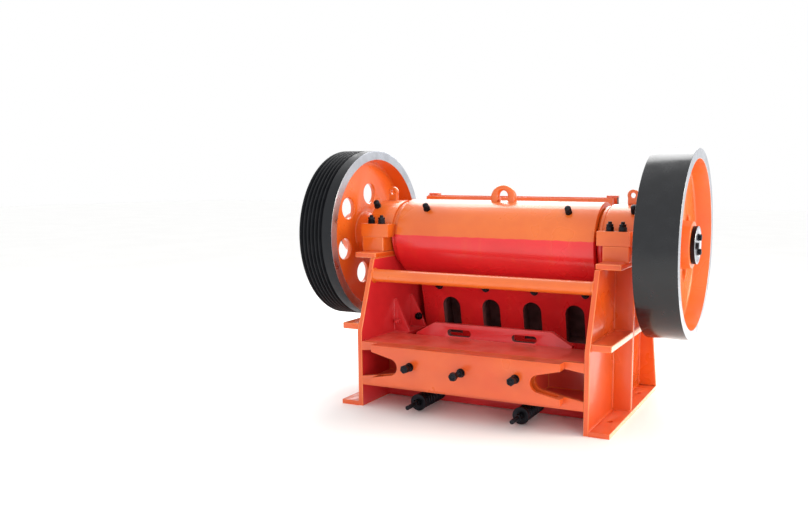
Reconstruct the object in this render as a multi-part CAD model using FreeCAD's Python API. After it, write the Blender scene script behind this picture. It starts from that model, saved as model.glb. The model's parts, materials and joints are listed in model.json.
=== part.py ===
"""Single-toggle fine jaw crusher, seen as a welded frame, a rotor and a pitman.

Frame axes: +X along the shaft towards the flywheel, +Y towards the feed side (fixed jaw),
+Z up. The origin is the centre of the four foundation bolts, on the floor, under the shaft.
All values are millimetres.
"""
import FreeCAD, Part
import math
import os

from FreeCAD import Vector

# ---------------------------------------------------------------- driving dimensions
INNER_WIDTH = 1296.0        # between the two side walls
WALL = 28.0                 # side wall plate
REAR_Y = -518.0             # rear edge of the side walls, below the knee
KNEE_Z = 425.0              # where the rear edge starts to lean in
SEAT_Z = 852.0              # top of the plate that the bearing housings stand on
SEAT_PLATE = 30.0
SEAT_FRONT_Y = 285.0        # front end of that plate
FEED_LEAN = 35.0            # how far the wall's rise beside the feed mouth leans forward

SHAFT_RISE = 83.5           # shaft axis above the seat plates
ECCENTRICITY = 10.0
JOURNAL_R = 75.0
ECCENTRIC_R = 88.0
SHAFT_END_R = 68.0
RUNNING_GAP = 0.1           # shaft in its bearings, radial
BODY_GAP = 0.3              # pieces seated on one body

BARREL_R = 225.0            # pitman barrel
BARREL_WALL = 32.0
BARREL_SEAT = 120.0         # length of each bearing seat in the barrel
FEED_GAPE = 250.0           # between the jaws at the swing jaw's top
DISCHARGE = 45.0            # between the jaws at the bottom, at rest
JAW_BOTTOM_Z = 200.0
JAW_PLATE = 50.0
FIXED_JAW = 55.0
TOOTH_PITCH = 50.0
TOOTH_HEIGHT = 16.0
CHEEK = 36.0

FOOT_REACH = 109.0          # foot flange beyond the wall's outer face
FOOT = 25.0                 # foot flange plate
BOLT_REACH = 51.0           # foundation bolts beyond the wall's outer face
BOLT_SPACING_Y = 610.0
BOLT_HOLE_R = 16.5

SHELF_TOP_Z = 467.0         # outer shelf rib
SHELF = 35.0
SHELF_REACH = 105.0
RIB = 25.0                  # upright outer ribs
MID_RIB_Y = -84.0
RIB_TOP_REACH = 40.0        # the front rib tapers to this

BEAM_TOP_Z = 371.0          # rear beam
BEAM_HEIGHT = 245.0
BEAM_INNER_Y = -204.0       # face that the shims bear on
BEAM_PLATE = 25.0
PAD_DEPTH = 65.0            # proud face of the beam
PAD_RISE = 31.0             # its lower edge above the beam's

NOTCH_NECK_HALF = 46.0      # tapered window in each end of the beam
NOTCH_END_HALF = 73.0

ADJUSTING_BOLTS = ((-306.0, 62.0), (0.0, 100.0), (306.0, 62.0))   # place along the beam, reach
ADJUSTING_R = 12.0
NUT = 36.0                  # across flats, and height, of the M24 nuts
NUT_HEIGHT = 22.0
END_NUT = 41.0
END_NUT_HEIGHT = 26.0

TUBE_DROP = 125.4           # tie tube below the seat plates
TUBE_INSET = 36.6           # and inside the walls' rear edge
TUBE_R = 35.9
TUBE_BORE_R = 28.0

HOUSING_INSET = 7.0         # housing from the wall's inner face
HOUSING_LENGTH = 140.0
HOUSING_HALF_Y = 270.0
HOUSING_OVERHANG = 12.0     # housing beyond the seat plate
CAP_R = 205.0
CAP_DRUM_INSET = 15.0       # cap's drum inside the housing
CAP_FLANGE = 74.5
CAP_FLANGE_REACH = (33.0, 5.0)    # cap flange beyond the housing, inside and outside
CAP_BOLT_INSET = (28.0, 96.0)     # cap bolts from the housing's inner face
CAP_BOLT_Y = 236.0
CAP_NUTS = ((38.0, 24.0), (32.0, 14.0))   # across flats and height, lower and upper
CAP_STUD_R = 11.0
CAP_STUD = 12.0
EYE_INSET = 87.0
EYE_R = 31.0
EYE_RISE = 18.0             # between the cap and the eye's round part
EYE_NECK = 56.0
EYE_HOLE_R = 14.0
EYE_THICK = 22.0

WHEEL_R = 500.0
WHEEL_WIDTH = 220.0
RIM = 53.0
WEB = 30.0
HUB_R = 123.0
HUB_RECESS = 20.0
WEB_HOLES = 6
WEB_HOLE_R = 62.0
WEB_HOLE_PHASE = 80.0
FLYWHEEL_CLEARANCE = 73.0   # wheels from the housings
SHEAVE_CLEARANCE = 52.0
GROOVES = 6
GROOVE_PITCH = 25.5
GROOVE_TOP = 22.0
GROOVE_FLOOR = 12.0
GROOVE_DEPTH = 18.0
GROOVE_EDGE = 17.0
END_PLATE_R = 100.0
END_PLATE = 25.0
END_BOLT = (30.0, 12.0)     # across flats and height of the end plates' bolt heads
END_BOLT_PITCH_R = 50.0
END_BOLT_ANGLES = (50.0, 180.0, -50.0)

SEAL_R = 195.0
SEAL_GAP = 8.0

PITMAN_DEPTH = 229.0        # front face to back face, measured level
PITMAN_BOTTOM_Z = 175.0
PITMAN_SKIN = 40.0
PITMAN_HORN = 42.0          # thickness of the pitman's upper edge
POCKETS = 4
POCKET_RIB = 64.0           # casting between two pockets
POCKET_WIDTH = 115.0
POCKET_HEIGHT = 228.0
POCKET_RISE = 40.0          # above the recess for the toggle, low in the pitman's back
RECESS_RISE = 20.0          # top of that recess above the seat insert

SHIM = 20.0                 # adjusting shims
SHIMS = 2
SHIM_RISE = 76.0            # above the beam
SHIM_CHAMFER_RISE = 9.0
SHIM_SLOT_RISE = 26.0
SHIM_SLOT_X = 200.0
SHIM_SLOT_LENGTH = 149.0
SHIM_SLOT_HEIGHT = 40.0

BLOCK_DEPTH = 64.0          # toggle block
BLOCK_DROP = 26.0           # below the beam's top
TOGGLE = 40.0               # toggle plate thickness
TOGGLE_REAR_DROP = 103.0    # its rear end below the beam's top
TOGGLE_FALL = 43.0          # its front end below its rear end
SEAT_INSERT = 35.0
SEAT_INSERT_HALF = 45.0
OPEN_GAP = ECCENTRICITY + 6.0    # room that the orbiting pitman needs

BRACKET_PLATE = 20.0        # guide brackets beside the toggle block
BRACKET_GAP = 10.0
BRACKET_FRONT_Y = 60.0
GUSSET = 18.0
GUSSETS_Y = (-168.0, 22.0)
GUSSET_RISE = 195.0
GUSSET_HOLE_R = 11.0

LUG_X = 303.0               # tension rods and the pitman's forks
ROD_R = 12.0
ROD_Z = 56.0
ROD_REACH = 102.0           # rod beyond the walls' rear edge
ROD_EYE = 14.0
PIN_R = 12.0
FORK_GAP = 6.0
FORK = 16.0
SPRING_INSET = 31.0         # spring's rear end inside the walls' rear edge
SPRING_R = 44.0
SPRING_BORE_R = 28.0
SPRING_BAR = 28.0
SPRING_WASHER = 12.0

FRONT_WALL = 32.0
FRONT_RIB_REACH = 86.0
FRONT_RIBS = 5

RING_R = 78.0               # lifting ring on the barrel
RING_RISE = 88.5            # its top above the barrel
RING_HOLE_R = 27.0
RING_HOLE_RISE = 29.5       # its hole's centre above the barrel
RING_THICK = 44.0
RING_Y = -30.0

# ---------------------------------------------------------------- worked-out places
IN_X = INNER_WIDTH / 2
OUT_X = IN_X + WALL
FOOT_X = OUT_X + FOOT_REACH
BOLT_X = OUT_X + BOLT_REACH
WALL_TOP_Z = SEAT_Z - SEAT_PLATE
SEAT_REAR_Y = REAR_Y + 154.0
SHAFT_Z = SEAT_Z + SHAFT_RISE
BARREL_Z = SHAFT_Z - ECCENTRICITY
BARREL_TOP_Z = BARREL_Z + BARREL_R
BARREL_HALF = IN_X - 55.0
PITMAN_HALF = BARREL_HALF - 3.0
JAW_HALF = IN_X - 44.0
JAW_TOP_Z = BARREL_TOP_Z + 20.5
FEED_TOP_Z = JAW_TOP_Z - 71.0
FIXED_JAW_TOP_Z = FEED_TOP_Z - 10.0

FRONT_Y = BARREL_R + FEED_GAPE + 57.0
FEED_STEP_Y = FRONT_Y - 227.0
FIXED_FACE_Y = FRONT_Y - FIXED_JAW
SWING_TOP_Y = FIXED_FACE_Y - FEED_GAPE
JAW_SLOPE = (FEED_GAPE - DISCHARGE) / (JAW_TOP_Z - JAW_BOTTOM_Z)
RECESS_Y = FRONT_Y - 312.0
PIN_Y = FRONT_Y - 270.0
PIN_Z = ROD_Z - ECCENTRICITY
POCKET_PITCH = (2 * PITMAN_HALF - 124.0) / POCKETS

BEAM_WALL_Y = REAR_Y + WALL
BEAM_FACE_Y = REAR_Y - PAD_DEPTH
BEAM_BOTTOM_Z = BEAM_TOP_Z - BEAM_HEIGHT
BEAM_FLOOR_Z = BEAM_BOTTOM_Z + BEAM_PLATE
BEAM_RIB_X = IN_X - 303.0
PAD_HALF = IN_X - 102.0
PAD_BOTTOM_Z = BEAM_BOTTOM_Z + PAD_RISE
NOTCH_TIP_X = IN_X - 263.0
NOTCH_NECK_X = IN_X - 223.0
NOTCH_MID_Z = BEAM_TOP_Z - 112.0
ADJUSTING_Z = BEAM_TOP_Z - 99.0

SHIM_HALF = IN_X - 170.0
SHIM_TOP_HALF = SHIM_HALF - 118.0
SHIM_TOP_Z = BEAM_TOP_Z + SHIM_RISE
SHIM_CHAMFER_Z = BEAM_TOP_Z + SHIM_CHAMFER_RISE
SHIM_SLOT_Z = BEAM_TOP_Z + SHIM_SLOT_RISE
BLOCK_REAR_Y = BEAM_INNER_Y + SHIM * SHIMS
BLOCK_Y = BLOCK_REAR_Y + BLOCK_DEPTH
BLOCK_HALF = IN_X - 113.0
BLOCK_TOP_Z = BEAM_TOP_Z - BLOCK_DROP
TOGGLE_HALF = BLOCK_HALF - 35.0
TOGGLE_REAR_Z = BEAM_TOP_Z - TOGGLE_REAR_DROP
TOGGLE_FRONT_Z = TOGGLE_REAR_Z - TOGGLE_FALL
SEAT_INSERT_Y = RECESS_Y - SEAT_INSERT
RECESS_TOP_Z = TOGGLE_FRONT_Z + SEAT_INSERT_HALF + RECESS_RISE
POCKET_BOTTOM_Z = RECESS_TOP_Z + POCKET_RISE
POCKET_TOP_Z = POCKET_BOTTOM_Z + POCKET_HEIGHT
TOGGLE_FRONT_Y = SEAT_INSERT_Y - OPEN_GAP - TOGGLE / 2

HOUSING_IN_X = IN_X + HOUSING_INSET
HOUSING_OUT_X = HOUSING_IN_X + HOUSING_LENGTH
CAP_DRUM_X = HOUSING_IN_X - CAP_DRUM_INSET
CAP_FLANGE_X = (HOUSING_IN_X - CAP_FLANGE_REACH[0], HOUSING_OUT_X + CAP_FLANGE_REACH[1])
CAP_FLANGE_Z = SHAFT_Z + CAP_FLANGE
CAP_TOP_Z = SHAFT_Z + CAP_R
EYE_X = HOUSING_IN_X + EYE_INSET
EYE_Z = CAP_TOP_Z + EYE_R + EYE_RISE
FLYWHEEL_IN_X = HOUSING_OUT_X + FLYWHEEL_CLEARANCE
SHEAVE_IN_X = HOUSING_OUT_X + SHEAVE_CLEARANCE
RIM_IN_R = WHEEL_R - RIM
WEB_HOLE_PITCH_R = 0.488 * WHEEL_R

SPRING_BAR_Y = BEAM_INNER_Y - SPRING_BAR - 16.0
SPRING_REAR_Y = REAR_Y + SPRING_INSET
ROD_REAR_Y = REAR_Y - ROD_REACH
RING_HOLE_Z = BARREL_TOP_Z + RING_HOLE_RISE
RING_Z = BARREL_TOP_Z + RING_RISE - RING_R


# ---------------------------------------------------------------- shape helpers
def box(x0, x1, y0, y1, z0, z1):
    """Block between two corners."""
    return Part.makeBox(x1 - x0, y1 - y0, z1 - z0, Vector(x0, y0, z0))


def prism_x(points, x0, x1):
    """Plate with the outline points (y, z), from x0 to x1."""
    outline = [Vector(x0, y, z) for y, z in points]
    wire = Part.makePolygon(outline + outline[:1])
    return Part.Face(wire).extrude(Vector(x1 - x0, 0, 0))


def prism_y(points, y0, y1):
    """Plate with the outline points (x, z), from y0 to y1."""
    outline = [Vector(x, y0, z) for x, z in points]
    wire = Part.makePolygon(outline + outline[:1])
    return Part.Face(wire).extrude(Vector(0, y1 - y0, 0))


def rod_x(radius, x0, x1, y=0.0, z=SHAFT_Z):
    """Cylinder along X."""
    return Part.makeCylinder(radius, x1 - x0, Vector(x0, y, z), Vector(1, 0, 0))


def rod_y(radius, y0, y1, x, z):
    """Cylinder along Y."""
    return Part.makeCylinder(radius, y1 - y0, Vector(x, y0, z), Vector(0, 1, 0))


def rod_z(radius, z0, z1, x, y):
    """Cylinder along Z."""
    return Part.makeCylinder(radius, z1 - z0, Vector(x, y, z0), Vector(0, 0, 1))


def hexagon(across, height, base, axis):
    """Hexagonal nut or head that starts at base and grows along axis."""
    corner = across / math.sqrt(3)
    points = [Vector(corner * math.cos(a), corner * math.sin(a), 0)
              for a in (math.radians(60 * k) for k in range(7))]
    nut = Part.Face(Part.makePolygon(points)).extrude(Vector(0, 0, height))
    turn = FreeCAD.Rotation(Vector(0, 0, 1), axis)
    nut.Placement = FreeCAD.Placement(base, turn)
    return nut


def mirrored(shape):
    """The same piece on the other side of the machine."""
    return shape.mirror(Vector(0, 0, 0), Vector(1, 0, 0))


def save(name, *solids):
    """Write one node; several solids become one compound."""
    shape = solids[0] if len(solids) == 1 else Part.makeCompound(list(solids))
    shape.exportStep("parts/" + name + ".step")


def save_pair(name, right):
    """Write a piece and its mirror image as the right and left nodes."""
    save(name + "_right", *right)
    save(name + "_left", *[mirrored(piece) for piece in right])


def save_both(name, right):
    """Write a piece and its mirror image as one node."""
    save(name, *right, *[mirrored(piece) for piece in right])


# ---------------------------------------------------------------- frame: side walls
def rear_edge_y(z):
    """Rear edge of the side wall at a height above the knee."""
    share = (z - KNEE_Z) / (SEAT_Z - KNEE_Z)
    return REAR_Y + share * (SEAT_REAR_Y - REAR_Y)


def side_wall():
    outline = [
        (REAR_Y, 0), (REAR_Y, KNEE_Z), (rear_edge_y(WALL_TOP_Z), WALL_TOP_Z),
        (FEED_STEP_Y, WALL_TOP_Z), (FEED_STEP_Y + FEED_LEAN, FEED_TOP_Z),
        (FRONT_Y, FEED_TOP_Z), (FRONT_Y, 0),
    ]
    return prism_x(outline, IN_X, OUT_X)


def foot_flange():
    plate = box(OUT_X, FOOT_X, REAR_Y, FRONT_Y, 0, FOOT)
    for y in (-BOLT_SPACING_Y / 2, BOLT_SPACING_Y / 2):
        plate = plate.cut(rod_z(BOLT_HOLE_R, -1, FOOT + 1, BOLT_X, y))
    return plate


def seat_plate():
    return box(IN_X, HOUSING_OUT_X - HOUSING_OVERHANG, SEAT_REAR_Y, SEAT_FRONT_Y, WALL_TOP_Z, SEAT_Z)


def shelf_ribs():
    outer = OUT_X + SHELF_REACH
    low = SHELF_TOP_Z - SHELF
    rear_start = rear_edge_y(SHELF_TOP_Z)
    rear = box(OUT_X, outer, rear_start, MID_RIB_Y, low, SHELF_TOP_Z)
    front = box(OUT_X, outer, MID_RIB_Y + RIB, FRONT_Y - RIB, low, SHELF_TOP_Z)
    return rear, front


def upright_ribs():
    mid = box(OUT_X, OUT_X + SHELF_REACH, MID_RIB_Y, MID_RIB_Y + RIB, FOOT, WALL_TOP_Z)
    outline = [(OUT_X, FOOT), (FOOT_X, FOOT), (OUT_X + RIB_TOP_REACH, WALL_TOP_Z), (OUT_X, WALL_TOP_Z)]
    return mid, prism_y(outline, FRONT_Y - RIB, FRONT_Y)


# ---------------------------------------------------------------- frame: rear beam
def beam_notch(side, y0, y1):
    """Tapered window that opens towards the side wall, with a round inner end."""
    mouth = IN_X + 1
    top_half, neck = NOTCH_END_HALF, NOTCH_NECK_HALF
    mid_z = NOTCH_MID_Z
    lower = [Vector(mouth, y0, mid_z - top_half - 12), Vector(PAD_HALF, y0, mid_z - top_half + 3),
             Vector(NOTCH_NECK_X, y0, mid_z - neck)]
    upper = [Vector(NOTCH_NECK_X, y0, mid_z + neck), Vector(PAD_HALF, y0, mid_z + top_half + 2),
             Vector(mouth, y0, mid_z + top_half - 11)]
    tip = Part.Arc(lower[-1], Vector(NOTCH_TIP_X, y0, mid_z), upper[0]).toShape()
    edges = [Part.makeLine(a, b) for a, b in zip(lower, lower[1:])]
    edges += [tip]
    edges += [Part.makeLine(a, b) for a, b in zip(upper, upper[1:])]
    edges += [Part.makeLine(upper[-1], lower[0])]
    cutter = Part.Face(Part.Wire(edges)).extrude(Vector(0, y1 - y0, 0))
    return cutter if side > 0 else mirrored(cutter)


def adjusting_holes(y0, y1):
    """Cutters for the adjusting bolts' holes."""
    return Part.makeCompound([rod_y(ADJUSTING_R + BODY_GAP, y0, y1, x, ADJUSTING_Z)
                              for x, _ in ADJUSTING_BOLTS])


def beam_wall():
    plate = box(-IN_X, IN_X, REAR_Y, BEAM_WALL_Y, BEAM_BOTTOM_Z, BEAM_TOP_Z)
    for side in (-1, 1):
        plate = plate.cut(beam_notch(side, REAR_Y - 1, BEAM_WALL_Y + 1))
    return plate.cut(adjusting_holes(REAR_Y - 1, BEAM_WALL_Y + 1))


def beam_face():
    """Proud folded plate on the beam: a tray, open towards the beam wall."""
    tray = box(-PAD_HALF, PAD_HALF, BEAM_FACE_Y, REAR_Y, PAD_BOTTOM_Z, BEAM_TOP_Z)
    inside = PAD_HALF - BEAM_PLATE
    tray = tray.cut(box(-inside, inside, BEAM_FACE_Y + BEAM_PLATE, REAR_Y + 1,
                        PAD_BOTTOM_Z + BEAM_PLATE, BEAM_TOP_Z - BEAM_PLATE))
    for side in (-1, 1):
        tray = tray.cut(beam_notch(side, BEAM_FACE_Y - 1, REAR_Y + 1))
    return tray.cut(adjusting_holes(BEAM_FACE_Y - 1, REAR_Y + 1))


def beam_box():
    """Top, bottom and inner plates of the beam, with two ribs; the bottom is the block's slideway."""
    top = box(-IN_X, IN_X, BEAM_WALL_Y, BEAM_INNER_Y, BEAM_TOP_Z - BEAM_PLATE, BEAM_TOP_Z)
    bottom = box(-IN_X, IN_X, BEAM_WALL_Y, BLOCK_Y, BEAM_BOTTOM_Z, BEAM_FLOOR_Z)
    inner = box(-IN_X, IN_X, BEAM_INNER_Y - WALL, BEAM_INNER_Y, BEAM_FLOOR_Z, BEAM_TOP_Z - BEAM_PLATE)
    ribs = [box(x - RIB / 2, x + RIB / 2, BEAM_WALL_Y, BEAM_INNER_Y - WALL,
                BEAM_FLOOR_Z, BEAM_TOP_Z - BEAM_PLATE) for x in (-BEAM_RIB_X, BEAM_RIB_X)]
    return top.multiFuse([bottom, inner] + ribs).removeSplitter()


def adjusting_bolts():
    """Each has a shank through the beam wall, a nut on the face and a larger nut at its end."""
    bolts = []
    for x, reach in ADJUSTING_BOLTS:
        end_y = BEAM_FACE_Y - reach
        shank = rod_y(ADJUSTING_R, end_y, BEAM_WALL_Y, x, ADJUSTING_Z)
        parts = [hexagon(NUT, NUT_HEIGHT, Vector(x, BEAM_FACE_Y, ADJUSTING_Z), Vector(0, -1, 0)),
                 hexagon(END_NUT, END_NUT_HEIGHT, Vector(x, end_y + END_NUT_HEIGHT, ADJUSTING_Z), Vector(0, -1, 0))]
        bolts.append(shank.multiFuse(parts).removeSplitter())
    return bolts


def spring_seat_bar():
    bar = box(-IN_X, IN_X, SPRING_BAR_Y, SPRING_BAR_Y + SPRING_BAR, 5, BEAM_BOTTOM_Z)
    for x in (-LUG_X, LUG_X):
        bar = bar.cut(rod_y(ROD_R + BODY_GAP, SPRING_BAR_Y - 1, SPRING_BAR_Y + SPRING_BAR + 1, x, ROD_Z))
    return bar


def tie_tube():
    z = SEAT_Z - TUBE_DROP
    y = rear_edge_y(z) + TUBE_INSET
    return rod_x(TUBE_R, -IN_X, IN_X, y, z).cut(rod_x(TUBE_BORE_R, -IN_X - 1, IN_X + 1, y, z))


# ---------------------------------------------------------------- frame: adjusting gear
def shims():
    """Adjusting shims: chamfered plates with two hand slots, standing between beam and block."""
    outline = [(-SHIM_HALF, BEAM_FLOOR_Z), (SHIM_HALF, BEAM_FLOOR_Z), (SHIM_HALF, SHIM_CHAMFER_Z),
               (SHIM_TOP_HALF, SHIM_TOP_Z), (-SHIM_TOP_HALF, SHIM_TOP_Z), (-SHIM_HALF, SHIM_CHAMFER_Z)]
    plates = []
    for k in range(SHIMS):
        y0 = BEAM_INNER_Y + k * SHIM
        plate = prism_y(outline, y0, y0 + SHIM)
        for x in (-SHIM_SLOT_X, SHIM_SLOT_X):
            end = SHIM_SLOT_LENGTH / 2 - SHIM_SLOT_HEIGHT / 2
            slot = box(x - end, x + end, y0 - 1, y0 + SHIM + 1,
                       SHIM_SLOT_Z - SHIM_SLOT_HEIGHT / 2, SHIM_SLOT_Z + SHIM_SLOT_HEIGHT / 2)
            for cx in (x - end, x + end):
                slot = slot.fuse(rod_y(SHIM_SLOT_HEIGHT / 2, y0 - 1, y0 + SHIM + 1, cx, SHIM_SLOT_Z))
            plate = plate.cut(slot)
        plates.append(plate)
    return plates


def toggle_block():
    block = box(-BLOCK_HALF, BLOCK_HALF, BLOCK_REAR_Y, BLOCK_Y, BEAM_FLOOR_Z, BLOCK_TOP_Z)
    groove = rod_x(TOGGLE / 2 + BODY_GAP, -BLOCK_HALF - 1, BLOCK_HALF + 1, BLOCK_Y, TOGGLE_REAR_Z)
    return block.cut(groove)


def toggle_plate():
    """Flat plate with round ends, from the block's groove to the pitman's seat."""
    run = Vector(0, TOGGLE_FRONT_Y - BLOCK_Y, TOGGLE_FRONT_Z - TOGGLE_REAR_Z)
    across = Vector(0, -run.z, run.y).normalize() * (TOGGLE / 2)
    rear = Vector(-TOGGLE_HALF, BLOCK_Y, TOGGLE_REAR_Z)
    front = rear + run
    out = Vector(run).normalize() * (TOGGLE / 2)
    edges = [
        Part.makeLine(rear + across, front + across),
        Part.Arc(front + across, front + out, front - across).toShape(),
        Part.makeLine(front - across, rear - across),
        Part.Arc(rear - across, rear - out, rear + across).toShape(),
    ]
    return Part.Face(Part.Wire(edges)).extrude(Vector(2 * TOGGLE_HALF, 0, 0))


def guide_bracket():
    """Slide plate beside the toggle block, with two gussets up the side wall."""
    edge_x = BLOCK_HALF + BRACKET_GAP
    plate = box(edge_x, IN_X, BEAM_INNER_Y, BRACKET_FRONT_Y, BEAM_TOP_Z - BRACKET_PLATE, BEAM_TOP_Z)
    top = BEAM_TOP_Z + GUSSET_RISE
    outline = [(IN_X, BEAM_TOP_Z), (IN_X, top), (IN_X - 12, top),
               (edge_x + 2, BEAM_TOP_Z + 12), (edge_x + 2, BEAM_TOP_Z)]
    gussets = [prism_y(outline, y, y + GUSSET) for y in GUSSETS_Y]
    hole = rod_y(GUSSET_HOLE_R, GUSSETS_Y[0] - 1, GUSSETS_Y[0] + GUSSET + 1, IN_X - 28, BEAM_TOP_Z + 60)
    gussets[0] = gussets[0].cut(hole)
    return plate.multiFuse(gussets).removeSplitter()


# ---------------------------------------------------------------- frame: feed side
def front_wall():
    return box(-OUT_X, OUT_X, FRONT_Y, FRONT_Y + FRONT_WALL, 0, FEED_TOP_Z)


def front_ribs():
    y0 = FRONT_Y + FRONT_WALL
    pitch = (FEED_TOP_Z - RIB) / (FRONT_RIBS - 1)
    return [box(-OUT_X, OUT_X, y0, y0 + FRONT_RIB_REACH, pitch * k, pitch * k + RIB)
            for k in range(FRONT_RIBS)]


def toothed_outline(half, back_y, thick, towards, shift):
    """Outline (x, y) of a jaw plate whose working face has V ridges along its length."""
    count = int(2 * half // TOOTH_PITCH)
    start = -count * TOOTH_PITCH / 2
    face = back_y + towards * thick
    root = face - towards * TOOTH_HEIGHT
    points = [(-half, back_y), (half, back_y), (half, root)]
    ridge = []
    for k in range(count):
        x = start + k * TOOTH_PITCH
        ridge += [(x, root), (x + TOOTH_PITCH * 0.35, face), (x + TOOTH_PITCH * 0.65, face)]
    ridge.append((start + count * TOOTH_PITCH, root))
    if shift:
        ridge = [(x + TOOTH_PITCH / 2, y) for x, y in ridge[:-3]]
    ridge = [point for point in ridge if abs(point[0]) < half]
    return points + ridge[::-1] + [(-half, root)]


def extruded(outline, z, run):
    """Solid from an (x, y) outline at height z, extruded along run."""
    points = [Vector(x, y, z) for x, y in outline]
    return Part.Face(Part.makePolygon(points + points[:1])).extrude(run)


def fixed_jaw_plate():
    outline = toothed_outline(IN_X - CHEEK - BODY_GAP, FRONT_Y, FIXED_JAW, -1, False)
    return extruded(outline, JAW_BOTTOM_Z - 20, Vector(0, 0, FIXED_JAW_TOP_Z - JAW_BOTTOM_Z + 20))


def cheek_plate():
    top = FEED_TOP_Z - 12
    outline = [(FIXED_FACE_Y - BODY_GAP, JAW_BOTTOM_Z), (FIXED_FACE_Y - BODY_GAP, top),
               (FEED_STEP_Y + FEED_LEAN + 8, top), (FEED_STEP_Y + 12, WALL_TOP_Z + 12),
               (FEED_STEP_Y - 60, WALL_TOP_Z - 12), (FEED_STEP_Y + 20, JAW_BOTTOM_Z)]
    return prism_x(outline, IN_X - CHEEK, IN_X)


# ---------------------------------------------------------------- frame: bearings
def bearing_housing():
    block = box(HOUSING_IN_X, HOUSING_OUT_X, -HOUSING_HALF_Y, HOUSING_HALF_Y, SEAT_Z, SHAFT_Z)
    return block.cut(rod_x(JOURNAL_R + RUNNING_GAP, HOUSING_IN_X - 1, HOUSING_OUT_X + 1))


def bearing_cap():
    drum = rod_x(CAP_R, CAP_DRUM_X, HOUSING_OUT_X)
    flange = box(*CAP_FLANGE_X, -HOUSING_HALF_Y, HOUSING_HALF_Y, SHAFT_Z, CAP_FLANGE_Z)
    below = box(0, FLYWHEEL_IN_X, -CAP_R - 1, CAP_R + 1, SHAFT_Z - CAP_R - 1, SHAFT_Z)
    cap = drum.cut(below).fuse(flange)
    cap = cap.cut(rod_x(SEAL_R + BODY_GAP, CAP_FLANGE_X[0] - 1, CAP_DRUM_X))
    return cap.cut(rod_x(JOURNAL_R + RUNNING_GAP, 0, FLYWHEEL_IN_X)).removeSplitter()


def seal_ring():
    """Ring between the barrel's end and the bearing, seated in the cap."""
    start = BARREL_HALF + SEAL_GAP
    room = rod_x(ECCENTRIC_R + ECCENTRICITY + 12, start - 1, CAP_DRUM_X + 1)
    return rod_x(SEAL_R, start, CAP_DRUM_X).cut(room)


def cap_bolts():
    bolts = []
    for inset in CAP_BOLT_INSET:
        for y in (-CAP_BOLT_Y, CAP_BOLT_Y):
            x, z, nuts = HOUSING_IN_X + inset, CAP_FLANGE_Z, []
            for across, height in CAP_NUTS:
                nuts.append(hexagon(across, height, Vector(x, y, z), Vector(0, 0, 1)))
                z += height
            stud = rod_z(CAP_STUD_R, z, z + CAP_STUD, x, y)
            bolts.append(stud.multiFuse(nuts).removeSplitter())
    return bolts


def cap_eye():
    """Lifting eye on a bearing cap: a round plate with a hole, on a short neck."""
    half = EYE_THICK / 2
    eye = rod_y(EYE_R, -half, half, EYE_X, EYE_Z)
    neck = box(EYE_X - EYE_NECK / 2, EYE_X + EYE_NECK / 2, -half, half, CAP_TOP_Z - 2, EYE_Z)
    eye = eye.fuse(neck).cut(rod_x(CAP_R, EYE_X - EYE_R, EYE_X + EYE_R))
    return eye.cut(rod_y(EYE_HOLE_R, -half - 1, half + 1, EYE_X, EYE_Z)).removeSplitter()


# ---------------------------------------------------------------- frame: tension rods
def tension_rod():
    """Rod with an open eye round the pitman's pin, and a washer and nuts behind its spring."""
    eye_in = PIN_R + OPEN_GAP
    rod = rod_y(ROD_R, ROD_REAR_Y, PIN_Y - eye_in - 4, LUG_X, ROD_Z)
    eye = rod_x(eye_in + ROD_EYE, LUG_X - ROD_R, LUG_X + ROD_R, PIN_Y, ROD_Z)
    washer_y = SPRING_REAR_Y - SPRING_WASHER
    washer = rod_y(SPRING_R + 4, washer_y, SPRING_REAR_Y, LUG_X, ROD_Z)
    nuts = [hexagon(NUT, NUT_HEIGHT, Vector(LUG_X, washer_y - (NUT_HEIGHT + 2) * k, ROD_Z), Vector(0, -1, 0))
            for k in range(2)]
    rod = rod.multiFuse([eye, washer] + nuts)
    hole = rod_x(eye_in, LUG_X - ROD_R - 1, LUG_X + ROD_R + 1, PIN_Y, ROD_Z)
    return rod.cut(hole).removeSplitter()


def tension_spring():
    spring = rod_y(SPRING_R, SPRING_REAR_Y, SPRING_BAR_Y, LUG_X, ROD_Z)
    return spring.cut(rod_y(SPRING_BORE_R, SPRING_REAR_Y - 1, SPRING_BAR_Y + 1, LUG_X, ROD_Z))


# ---------------------------------------------------------------- rotor
def shaft():
    left = -SHEAVE_IN_X - WHEEL_WIDTH + HUB_RECESS
    right = FLYWHEEL_IN_X + WHEEL_WIDTH - HUB_RECESS
    ends = rod_x(SHAFT_END_R, left, right)
    journals = rod_x(JOURNAL_R, -HOUSING_OUT_X - 6, HOUSING_OUT_X + 6)
    middle = rod_x(ECCENTRIC_R, -BARREL_HALF - SEAL_GAP, BARREL_HALF + SEAL_GAP, 0, BARREL_Z)
    return ends.multiFuse([journals, middle]).removeSplitter()


def revolved(profile):
    """Solid of revolution about the shaft from an outline of (radius, x)."""
    points = [Vector(x, 0, SHAFT_Z + r) for r, x in profile]
    face = Part.Face(Part.makePolygon(points + points[:1]))
    return face.revolve(Vector(0, 0, SHAFT_Z), Vector(1, 0, 0), 360)


def wheel_rim(inner_x, grooved):
    """Heavy rim on the right side; the sheave's has V-belt grooves."""
    outer_x = inner_x + WHEEL_WIDTH
    profile = [(RIM_IN_R, inner_x), (WHEEL_R, inner_x)]
    if grooved:
        for k in range(GROOVES):
            mid = outer_x - GROOVE_EDGE - GROOVE_PITCH * (GROOVES - 1 - k)
            floor = WHEEL_R - GROOVE_DEPTH
            profile += [(WHEEL_R, mid - GROOVE_TOP / 2), (floor, mid - GROOVE_FLOOR / 2),
                        (floor, mid + GROOVE_FLOOR / 2), (WHEEL_R, mid + GROOVE_TOP / 2)]
    return revolved(profile + [(WHEEL_R, outer_x), (RIM_IN_R, outer_x)])


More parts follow.
